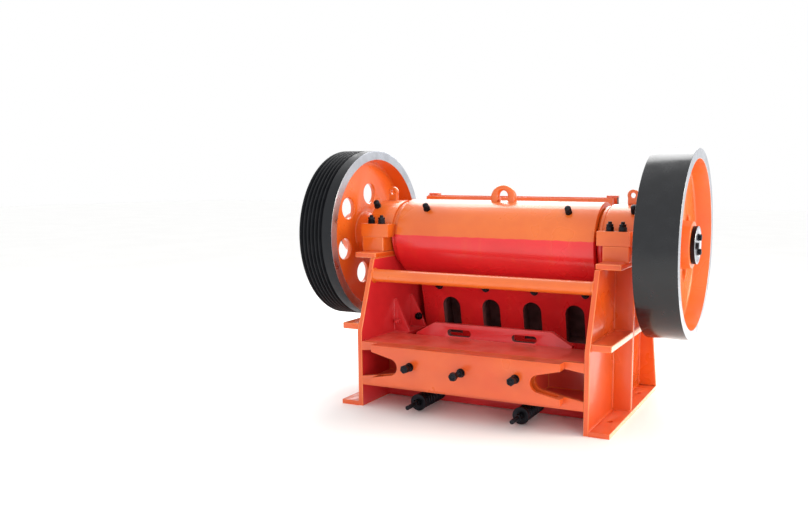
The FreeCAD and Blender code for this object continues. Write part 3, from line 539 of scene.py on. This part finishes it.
# %% [markdown]
# ## Jaws
# The jaw plates and the cheek plates between them are replaceable castings of manganese
# steel, which stays unpainted where it works. The swing jaw's back and top were painted
# together with the pitman.


# %% Jaws
def jaw_back(centres, normals):
    """1 on the painted back and top of the swing jaw, 0 on its teeth."""
    return ((normals[:, 1] < -0.5) | (normals[:, 2] > 0.7)).astype(int)


soften("fixed_jaw_plate", [MANGANESE], 2.5)
soften("swing_jaw_plate", [MANGANESE, ORANGE], 2.5, "pitman", choose=jaw_back)
for side in ("left", "right"):
    soften("cheek_plate_" + side, [MANGANESE], 3)

# %% [markdown]
# ## Pitman and bearing castings
# The pitman is one steel casting: a barrel round the shaft, and a body below it with four
# pockets in its back. Its corners are rounder than a plate's. The pockets, with the back that
# shows through the shims' slots, are a dark red-brown, painted shade in these recesses. The
# bearing housings and caps are castings in the same orange.


# %% Pitman and bearing castings
def pocket_walls(centres, normals):
    """1 inside the pockets, where painted shade goes: behind the pitman's sloping back, which
    moves 0.2111 forward for each unit down, and in front of the pockets' floors."""
    x, y, z = centres.T
    back = BARREL[1] + 0.2111 * (high("swing_jaw_plate")[2] - z) - 49 * MM
    deep = (y > back + 5 * MM) & (y < back + 215 * MM)
    inside = (z < 600 * MM) | (np.abs(normals[:, 2]) > 0.5) | (y > back + 30 * MM)
    return ((np.abs(x) < 500 * MM) & (z > 325 * MM) & (z < 675 * MM) & deep & inside).astype(int)


soften("pitman", [PITMAN_SHADED_BELOW, RECESS_SHADE], 6, "pitman", choose=pocket_walls)
soften("pitman_seat", [MANGANESE], 3, "pitman")
for side in ("left", "right"):
    soften("bearing_housing_" + side, [ORANGE_CAST], 6, edge=ORANGE_EDGE_HIGHLIGHT)
    soften("bearing_cap_" + side, [ORANGE_CAST], 7, steps=4)
soften("cap_eyes", [ORANGE_CAST], 5)

# %% [markdown]
# ## Tie tube
# A tube holds the walls' rear edges apart. It is welded all round at both ends, and a ring
# weld has the same ripple as a straight one, wrapped round the tube.


# %% Tie tube
def ring_bead(centre, axis, radius, size=6 * MM):
    """Weld round a tube: a small circle carried round a large one, wider and narrower by a
    tenth every 7 mm along the way."""
    angle = np.linspace(0, FULL, int(FULL * radius / (3.5 * MM)), endpoint=False)
    width = size * (1 + 0.10 * np.sin(angle * radius / (7 * MM) * FULL))
    turn = np.linspace(0, FULL, 8, endpoint=False)
    r = radius + width[:, None] * np.cos(turn)
    cosine, sine = np.cos(angle)[:, None], np.sin(angle)[:, None]
    points = np.stack([r * cosine, r * sine, width[:, None] * np.sin(turn)], -1)
    return aim(grid(points, (True, True)), centre, axis)


small, large = low("tie_tube"), high("tie_tube")
_, tube_y, tube_z = (small + large) / 2
tube_r = (large[2] - small[2]) / 2
outline = [(tube_r - 8 * MM, small[0]), (tube_r, small[0]), (tube_r, large[0]), (tube_r - 8 * MM, large[0])]
tube = aim(lathe(outline), (0, tube_y, tube_z), (1, 0, 0))
rings = [ring_bead((x, tube_y, tube_z), (1, 0, 0), tube_r, 7 * MM) for x in (small[0] + MM, large[0] - MM)]
piece("tie_tube_finished", [tube] + rings, [ORANGE_CAST], "frame", ["tie_tube"])

# %% [markdown]
# ## Wheels
# The flywheel and the belt sheave are cast iron, turned only where it matters: the tread,
# the rim's sides and the bore. A pattern has to slide out of its sand mould, so the rim's
# inside leans by 8 mm and runs into the web through a wide fillet, and so does the hub. One
# outline turned about the shaft gives that shape. The web with its six round holes is a
# softened copy of its node.

# %% Wheel outlines
RIM_IN_R = 447 * MM
RIM_R = (high("flywheel_rim")[2] - low("flywheel_rim")[2]) / 2
HUB_R = (high("flywheel_hub")[2] - low("flywheel_hub")[2]) / 2
BORE_R = 68 * MM


def rim_outline(x0, x1, web0, web1, grooves=0):
    """Half section of a rim from x0 to x1, with V-belt grooves 25.5 mm apart."""
    lean, fillet = 8 * MM, 24 * MM
    inner = RIM_IN_R - lean
    body = [(RIM_IN_R, x0), (inner, web0 - 2 * MM), (inner - fillet, web0),
            (inner - fillet, web1), (inner, web1 + 2 * MM), (RIM_IN_R, x1)]
    tread = [(RIM_R, x1)]
    for k in range(grooves):
        mid = x1 - 17 * MM - 25.5 * MM * k
        tread += [(RIM_R, mid + 11 * MM), (RIM_R - 18 * MM, mid + 6 * MM),
                  (RIM_R - 18 * MM, mid - 6 * MM), (RIM_R, mid - 11 * MM)]
    tread += [(RIM_R, x0)]
    radii = [3 * MM, 22 * MM, 0, 0, 22 * MM, 3 * MM] + [2.5 * MM] + [1.2 * MM] * (4 * grooves) + [2.5 * MM]
    return rounded(body + tread, radii)


def hub_outline(x0, x1, web0, web1):
    """Half section of a hub from x0 to x1, with fillets of 22 mm at the web."""
    foot, skirt = HUB_R + 6 * MM, HUB_R + 30 * MM
    return rounded([(BORE_R, x0), (HUB_R, x0), (foot, web0 - 2 * MM), (skirt, web0),
                    (skirt, web1), (foot, web1 + 2 * MM), (HUB_R, x1), (BORE_R, x1)],
                   [MM, 4 * MM, 22 * MM, 0, 0, 22 * MM, 4 * MM, MM])


def rim_faces(centres, normals):
    """0 tread, 1 machined side, 2 painted inside."""
    y, z = centres[:, 1] - SHAFT[1], centres[:, 2] - SHAFT[2]
    r = np.hypot(y, z)
    outward = (normals[:, 1] * y + normals[:, 2] * z) / r
    reach = np.abs(centres[:, 0])
    ends = np.minimum(reach - reach.min(), reach.max() - reach) < 4 * MM
    side = (np.abs(normals[:, 0]) > 0.8) & (r > RIM_IN_R + MM) & ends
    return np.where(side, 1, np.where((r > 0.94 * RIM_R) & (outward > -0.7), 0, 2))


# %% Wheels
for wheel, side, grooves, tread in (("flywheel", 1, 0, TREAD), ("sheave", -1, 6, GROOVE)):
    ends = {part: sorted((side * low(f"{wheel}_{part}")[0], side * high(f"{wheel}_{part}")[0]))
            for part in ("rim", "web", "hub")}
    rim = aim(lathe(rim_outline(*ends["rim"], *ends["web"], grooves), 192), SHAFT, (1, 0, 0))
    hub = aim(lathe(hub_outline(*ends["hub"], *ends["web"]), 96), SHAFT, (1, 0, 0))
    if side < 0:
        rim, hub = mirror(rim), mirror(hub)
    piece(wheel + "_rim_finished", [rim], [tread, TURNED, ORANGE_CAST], "rotor",
          [wheel + "_rim"], rim_faces)
    piece(wheel + "_hub_finished", [hub], [ORANGE_CAST], "rotor", [wheel + "_hub"])
    soften(wheel + "_web", [ORANGE_CAST], 7, "rotor", steps=4)
for slot in frame["nodes"]["eccentric_shaft"].material_slots:
    slot.material = SHAFT_STEEL

# %% [markdown]
# ## Nuts, bolts and threads
# Real nuts are hexagons whose corners are chamfered to a cone, and a thread is a groove on a
# helix. Both are heights over a turn: a radius for each angle and each level. Modelling them
# that way takes a few rows of points and no cutting, and the chamfer's curved edge, which
# tells a nut from a prism, comes from taking the smaller of two radii.


# %% Nuts, bolts and threads
def hexagon(across, height, bore=0.0, washer=0.0):
    """Nut, or bolt head when there is no bore. Its radius at an angle is half the width
    across flats over the cosine of the angle from the flat's middle, and near the ends the
    smaller radius of a cone. washer adds a plate of that radius under it."""
    angle = np.linspace(0, FULL, 72, endpoint=False)
    flat = across / 2
    sides = flat / np.cos((angle + math.pi / 6) % (math.pi / 3) - math.pi / 6)
    levels = height * np.array([0, 0.04, 0.09, 0.14, 0.86, 0.91, 0.96, 1])
    radii = [np.minimum(sides, 0.96 * flat + 2.0 * min(z, height - z)) for z in levels]
    radii = [np.full(72, bore)] + radii + [np.full(72, bore)]
    levels = np.array([0, *levels, height])
    points = np.stack([radii * np.cos(angle), radii * np.sin(angle), levels[:, None] + 0 * angle], -1)
    nut = grid(points, (bore > 0, True))
    if not washer:
        return nut
    plate = rounded([(bore, 0), (washer, 0), (washer, 4 * MM), (bore, 4 * MM)], MM, 2)
    return joined([aim(nut, (0, 0, 4 * MM)), lathe(plate, 40)])


def thread(radius, length, pitch=3 * MM, tip=2.5 * MM):
    """Threaded rod: the radius dips by a third of the pitch along a helix, where height over
    pitch minus angle over a full turn is a whole number, and tapers at the tip."""
    z = np.linspace(0, length, int(length / pitch * 4) + 2)[:, None]
    angle = np.linspace(0, FULL, 24, endpoint=False)[None]
    dip = np.abs((z / pitch - angle / FULL) % 1 - 0.5) * 2
    r = radius - pitch / 3 * dip - np.clip(z - length + tip, 0, tip)
    points = np.stack([r * np.cos(angle), r * np.sin(angle), z + 0 * angle], -1)
    return grid(np.vstack([points[:1] * [0, 0, 1], points, points[-1:] * [0, 0, 1]]), (False, True))


# %% [markdown]
# ## End plates
# Each wheel is kept on its shaft by a turned plate with three bolts on a small circle. The
# plate's face is bare, its edge is black, and a shallow recess holds the bolt heads.

# %% End plates
plates, bolts = [], []
head = 12 * MM
plate_r = (high("end_plates")[2] - low("end_plates")[2]) / 2
for x, side in ((high("end_plates")[0] - head, 1), (low("end_plates")[0] + head, -1)):
    thick, floor_z = 25 * MM, 19 * MM
    outline = rounded([(0, 0), (plate_r, 0), (plate_r, thick), (plate_r - 14 * MM, thick),
                       (plate_r - 17 * MM, floor_z), (0, floor_z)], [0, MM, 3 * MM, MM, MM, 0], 3)
    plates.append(aim(lathe(outline, 96, ring=False), (x - side * thick, SHAFT[1], SHAFT[2]), (side, 0, 0)))
    for angle in (50, 180, -50):
        y, z = (50 * MM * f(math.radians(angle)) for f in (math.cos, math.sin))
        bolts.append(aim(hexagon(30 * MM, 14 * MM, 0, 19 * MM),
                         (x - side * (thick - floor_z), SHAFT[1] + y, SHAFT[2] + z), (side, 0, 0), angle))
piece("end_plates_finished", plates, [TURNED, BLACK], "rotor", ["end_plates"],
      lambda centres, normals: (np.abs(normals[:, 0]) < 0.3).astype(int))
piece("end_plate_bolts", bolts, [BLACK], "rotor")

# %% [markdown]
# ## Cap bolts and adjusting bolts
# Four studs with two nuts each clamp a bearing cap. Three long bolts through the rear beam
# push the toggle block forward to add or take a shim, and the middle one is drawn further
# out than the others.

# %% Cap bolts and adjusting bolts
STUD_R = 11 * MM
STUD_X, STUD_Y = (683 * MM, 751 * MM), (-236 * MM, 236 * MM)
base = low("cap_bolts")[2]
shells = []
for side in (-1, 1):
    for x in STUD_X:
        for y in STUD_Y:
            spot, lock_nut_at = (side * x, y, base), (side * x, y, base + 24.5 * MM)
            shells += [aim(hexagon(38 * MM, 20 * MM, STUD_R, 23 * MM), spot, turn=x + y),
                       aim(hexagon(34 * MM, 13 * MM, STUD_R), lock_nut_at, turn=0.3 + y * x),
                       aim(thread(STUD_R, 50 * MM), spot)]
piece("cap_bolts_finished", shells, [BLACK], "frame", ["cap_bolts"])

BOLT_R = 12 * MM
REARWARD = (0, -1, 0)
face, back = low("beam_face")[1], high("adjusting_bolts")[1]
bolt_z = (low("adjusting_bolts")[2] + high("adjusting_bolts")[2]) / 2
shells = []
for x, reach in ((-306 * MM, 62 * MM), (0, 100 * MM), (306 * MM, 62 * MM)):
    end = face - reach
    shells += [aim(thread(BOLT_R, back - end), (x, back, bolt_z), REARWARD),
               aim(hexagon(36 * MM, 18 * MM, BOLT_R, 24 * MM), (x, face, bolt_z), REARWARD, 0.2 + 9 * x),
               aim(hexagon(41 * MM, 26 * MM, BOLT_R), (x, end + 26 * MM, bolt_z), REARWARD, 0.5 + 9 * x)]
piece("adjusting_bolts_finished", shells, [BLACK], "frame", ["adjusting_bolts"])

# %% [markdown]
# ## Tension rods and springs
# Two rods pull the pitman's foot back against the toggle plate, each through a coil spring
# behind the frame. A spring is one circle carried along a helix. Its end turns are closed
# and lie flat on the washers, so the helix rises only between them.


# %% Tension rods and springs
def coil(x, y0, y1, z, mean=36 * MM, wire=7.5 * MM, turns=9):
    """Compression spring along Y. The angle grows evenly; the rise is flat over the first
    and last 0.8 turn, one wire thick there, and even in between."""
    t = np.linspace(0, 1, turns * 28)
    rise = np.clip((t * turns - 0.8) / (turns - 1.6), 0, 1)
    closed = np.clip(t * turns, 0, 0.8) + np.clip(t * turns - turns + 0.8, 0, 0.8)
    span = y1 - y0 - 2 * wire
    share = (rise * (span - 2 * wire) + closed / 0.8 * wire) / span
    angle = t * turns * FULL
    path = np.stack([x + mean * np.cos(angle), y0 + wire + span * share, z + mean * np.sin(angle)], -1)
    width = np.full(len(t), wire)
    width[[0, -1]] = 0
    return sweep(path, width, 12, (0, 1, 0))


rod_tip, rod_end = low("tension_rods")[1], high("tension_rods")[1]
spring0, spring1 = low("tension_springs")[1], high("tension_springs")[1]
rod_z = (low("tension_springs")[2] + high("tension_springs")[2]) / 2
pin_y = rod_end - 42 * MM
rods, springs = [], []
for side in (-1, 1):
    x = side * 303 * MM
    shank = [(0, 0), (11.5 * MM, 0), (11.5 * MM, pin_y - 31 * MM - spring0), (0, pin_y - 31 * MM - spring0)]
    eye = rounded([(28 * MM, -12 * MM), (42 * MM, -12 * MM), (42 * MM, 12 * MM), (28 * MM, 12 * MM)], 4 * MM)
    washer = rounded([(12 * MM, 0), (46 * MM, 0), (46 * MM, 12 * MM), (12 * MM, 12 * MM)], 2 * MM)
    rods += [aim(thread(BOLT_R, spring0 + 40 * MM - rod_tip), (x, spring0 + 40 * MM, rod_z), REARWARD),
             aim(lathe(shank, 32, ring=False), (x, spring0 + 5 * MM, rod_z), (0, 1, 0)),
             aim(lathe(eye), (x, pin_y, rod_z), (1, 0, 0)),
             aim(lathe(washer, 48), (x, spring0, rod_z), REARWARD)]
    rods += [aim(hexagon(36 * MM, 21 * MM, BOLT_R), (x, spring0 - depth, rod_z), REARWARD, 9 * depth + side)
             for depth in (12 * MM, 36 * MM)]
    springs.append(coil(x, spring0, spring1, rod_z))
piece("tension_rods_finished", rods, [BLACK], "frame", ["tension_rods"])
piece("tension_springs_finished", springs, [BLACK], "frame", ["tension_springs"])

# %% [markdown]
# ## Grease plugs
# The bearings are greased through screwed plugs, two on the barrel and one on each cap. A
# plug is a bolt head under a round ribbed cap.


# %% Grease plugs
def plug(origin, axis):
    """Bolt head with a turned cap on it."""
    cap = [(0, 18), (15, 18), (15, 21), (17.5, 22), (17.5, 38), (15, 43), (9, 46), (0, 47)]
    turned = lathe(np.array(cap) * MM, 48, ring=False)
    return aim(joined([hexagon(36 * MM, 20 * MM), turned]), origin, axis, 0.4)


for name, body, centre, radius, reach, angle in (
        ("barrel", "pitman", BARREL, BARREL_R, 430 * MM, 131), ("cap", "frame", SHAFT, CAP_R, 780 * MM, 125)):
    out = np.array([0, math.cos(math.radians(angle)), math.sin(math.radians(angle))])
    spots = [centre + out * (radius - 3 * MM) + np.array([side * reach, 0, 0]) for side in (-1, 1)]
    piece(name + "_grease_plugs", [plug(spot, out) for spot in spots], [BLACK], body)

# %% [markdown]
# ## Bolts of the brackets and the swing jaw
# Each guide bracket is bolted through both gussets. The swing jaw hangs on four bolts whose
# nuts sit on the pitman's back, just under the tie tube.


# %% Bolts of the brackets and the swing jaw
def bolt_and_nut(spot, out, turn, across=36 * MM):
    """Nut on a washer with a threaded end standing out of it."""
    return [aim(hexagon(across, 20 * MM, STUD_R, across * 0.64), spot, out, turn),
            aim(thread(STUD_R, 34 * MM), spot, out)]


plate_top = high("beam_box")[2]
front_bolt = bolt_and_nut((586 * MM, 22 * MM, plate_top + 63 * MM), REARWARD, 0.3)
rear_bolt = bolt_and_nut((620 * MM, -168 * MM, plate_top + 60 * MM), REARWARD, 0.1, 30 * MM)
piece("guide_bracket_nuts", front_bolt + [mirror(s) for s in front_bolt], [BLACK], "frame")
piece("guide_bracket_bolts", rear_bolt + [mirror(s) for s in rear_bolt], [RED], "frame")
shells = []
for x in (-465 * MM, -155 * MM, 155 * MM, 465 * MM):
    shells += bolt_and_nut((x, 67 * MM, 624 * MM), (0, -1, 0.21), 9 * x)
piece("jaw_bolt_nuts", shells, [BLACK], "pitman")

# %% [markdown]
# ## Lifting ring
# The pitman is lifted by a cast ring on its barrel. Its hole is smaller than its outside and
# sits higher, so the ring grows from 50 mm wide at its foot to 30 mm at its top. Carrying an
# oval between the two circles gives that in one surface.

# %% Lifting ring
small, large = low("lifting_ring"), high("lifting_ring")
outer = (large[0] - small[0]) / 2
ring_y, half = (small[1] + large[1]) / 2, (large[1] - small[1]) / 2
outer_z = large[2] - outer
hole, hole_z = 27 * MM, outer_z + 19 * MM
t = np.radians(np.linspace(-38, 218, 72))[:, None]
s = np.linspace(0, FULL, 28, endpoint=False)[None]
outside = np.stack([outer * np.cos(t), outer_z + outer * np.sin(t)], -1)
inside = np.stack([hole * np.cos(t), hole_z + hole * np.sin(t)], -1)
share = 0.5 + 0.5 * np.sign(np.cos(s)) * np.abs(np.cos(s)) ** 0.8
depth = half * np.sign(np.sin(s)) * np.abs(np.sin(s)) ** 0.8
flat = inside + (outside - inside) * share[..., None]
points = np.stack([flat[..., 0], ring_y + depth + 0 * t, flat[..., 1]], -1)
first, last = (points[row].mean(1, keepdims=True) + 0 * points[row] for row in (slice(0, 1), slice(-1, None)))
ring = grid(np.vstack([first, points, last]), (False, True))
piece("lifting_ring_finished", [ring], [ORANGE_CAST], "pitman", ["lifting_ring"], sharp=60)

# %% [markdown]
# ## Seal rings
# A ring closes the gap between the barrel and each bearing: two steps with a groove between
# them, orange above the pitman's line and red below it, the red being painted shade.

# %% Seal rings
x1 = high("seal_rings")[0]
x0 = x1 - 39 * MM
outer = (high("seal_rings")[2] - low("seal_rings")[2]) / 2
inner = 110 * MM
outline = [(inner, x0), (outer - 9 * MM, x0), (outer - 6 * MM, x0 + 6 * MM), (outer, x0 + 10 * MM),
           (outer, x0 + 24 * MM), (outer - 4 * MM, x0 + 27 * MM), (outer - 4 * MM, x0 + 32 * MM),
           (outer, x0 + 35 * MM), (outer, x1), (inner, x1)]
ring = aim(lathe(rounded(outline, 2.5 * MM, 3), 128), SHAFT, (1, 0, 0))
piece("seal_rings_finished", [ring, mirror(ring)], [PITMAN_SHADED_BELOW], "frame", ["seal_rings"])

# %% [markdown]
# ## Swing jaw clamps
# A block at each end of the swing jaw's upper edge holds it down. Each is a rounded outline
# lofted through its thickness, with its ends drawn to a point so that it is closed.

# %% Swing jaw clamps
jaw_top = high("swing_jaw_plate")
jaw_y = low("swing_jaw_plate")[1]
wide, under, over = 32 * MM, -8 * MM, 12 * MM
outline = rounded([(-wide, under), (wide, under), (wide, over), (-wide, over)], 5 * MM, 3)
levels = ((12 * MM, 0.0), (12 * MM, 0.93), (15 * MM, 1), (52 * MM, 1), (55 * MM, 0.93), (55 * MM, 0.0))
shells = []
for side in (-1, 1):
    x = side * (jaw_top[0] - 34 * MM)
    rows = [np.stack([outline[:, 0] * size + x, np.full(len(outline), jaw_y + deep),
                      outline[:, 1] * size + jaw_top[2]], -1) for deep, size in levels]
    shells.append(grid(np.array(rows), (False, True)))
piece("jaw_clamps", shells, [ORANGE], "pitman")

# %% [markdown]
# ## Weld beads
# Where plates meet, a fillet weld fills the corner. It is a bead with a ripple every 7 mm,
# the length of one weave, and painted like its plates. Along a straight joint a thin tube
# with a wavy radius is enough, because only its outer side shows.


# %% Weld beads
def bead(start, end, radius=6 * MM, hint=(0.3, 0.5, 0.8)):
    """Weld from start to end: a tube whose radius varies by a tenth every 7 mm and by a
    little more every 61 mm, and tapers to nothing over its last 4 mm."""
    start, end = np.array(start, float), np.array(end, float)
    length = np.linalg.norm(end - start)
    share = np.linspace(0, 1, max(int(length / (3.5 * MM)), 4))
    along = share * length
    width = radius * (1 + 0.10 * np.sin(along / (7 * MM) * FULL) + 0.06 * np.sin(along / (61 * MM) * FULL))
    width = width * np.clip(np.minimum(along, length - along) / (4 * MM), 0, 1) ** 0.5
    return sweep(start + share[:, None] * (end - start), width, 8, hint)


foot, shelf, seat = high("foot_flange_right"), high("shelf_ribs"), low("seat_plate_right")
rear, front = low("foot_flange_right")[1], foot[1]
RIB = 25 * MM
rib0, rib1 = low("upright_ribs")[1], low("upright_ribs")[1] + RIB
shelf_rear, shelf_low = low("shelf_ribs")[1:]
out, reach = WALL_OUT, shelf[0]
lines = [((out, rear, foot[2]), (out, rib0, foot[2])), ((out, rib1, foot[2]), (out, front, foot[2])),
         ((out, shelf_rear, shelf[2]), (out, rib0, shelf[2])),
         ((out, rib1, shelf[2]), (out, shelf[1], shelf[2])),
         ((out, shelf_rear, shelf_low), (out, rib0, shelf_low)),
         ((out, rib1, shelf_low), (out, shelf[1], shelf_low)),
         ((out, seat[1], seat[2]), (out, high("seat_plate_right")[1], seat[2])),
         ((out, shelf[1], foot[2]), (out, shelf[1], seat[2]))]
for y in (rib0, rib1):
    lines += [((out, y, foot[2]), (out, y, shelf_low)), ((out, y, shelf[2]), (out, y, seat[2])),
              ((out, y, foot[2]), (reach, y, foot[2])), ((out, y, shelf[2]), (reach, y, shelf[2])),
              ((out, y, shelf_low), (reach, y, shelf_low))]
shells = [bead(a, b) for a, b in lines]
housing = low("bearing_housing_right")
shells.append(bead(housing, (seat[0] + 130 * MM, housing[1], housing[2]), 5 * MM))
shells += [mirror(s) for s in shells]
ribs_x, wall_y, rib_top = high("front_wall_ribs")[0], high("front_wall")[1], high("front_wall_ribs")[2]
for bottom in np.linspace(0, rib_top - RIB, 5):
    shells += [bead((-ribs_x, wall_y, z), (ribs_x, wall_y, z))
               for z in (bottom, bottom + RIB) if 0 < z < rib_top]
piece("outer_welds", shells, [ORANGE], "frame", sharp=0)

beam0, beam1 = low("beam_box"), high("beam_box")
inner = [bead((WALL_IN, beam0[1], beam1[2]), (WALL_IN, beam1[1] - 100 * MM, beam1[2]))]
inner += [bead((WALL_IN, y, beam1[2]), (WALL_IN, y, beam1[2] + 190 * MM), 5 * MM)
          for y in (-168 * MM, -150 * MM)]
inner += [mirror(s) for s in inner]
piece("inner_welds", inner, [RED], "frame", sharp=0)

# %% [markdown]
# ## Last update
# The view layer is updated once more, so that every piece's place is current. The
# finished model must fill the same box as the imported one.

# %% Last update
bpy.context.view_layer.update()
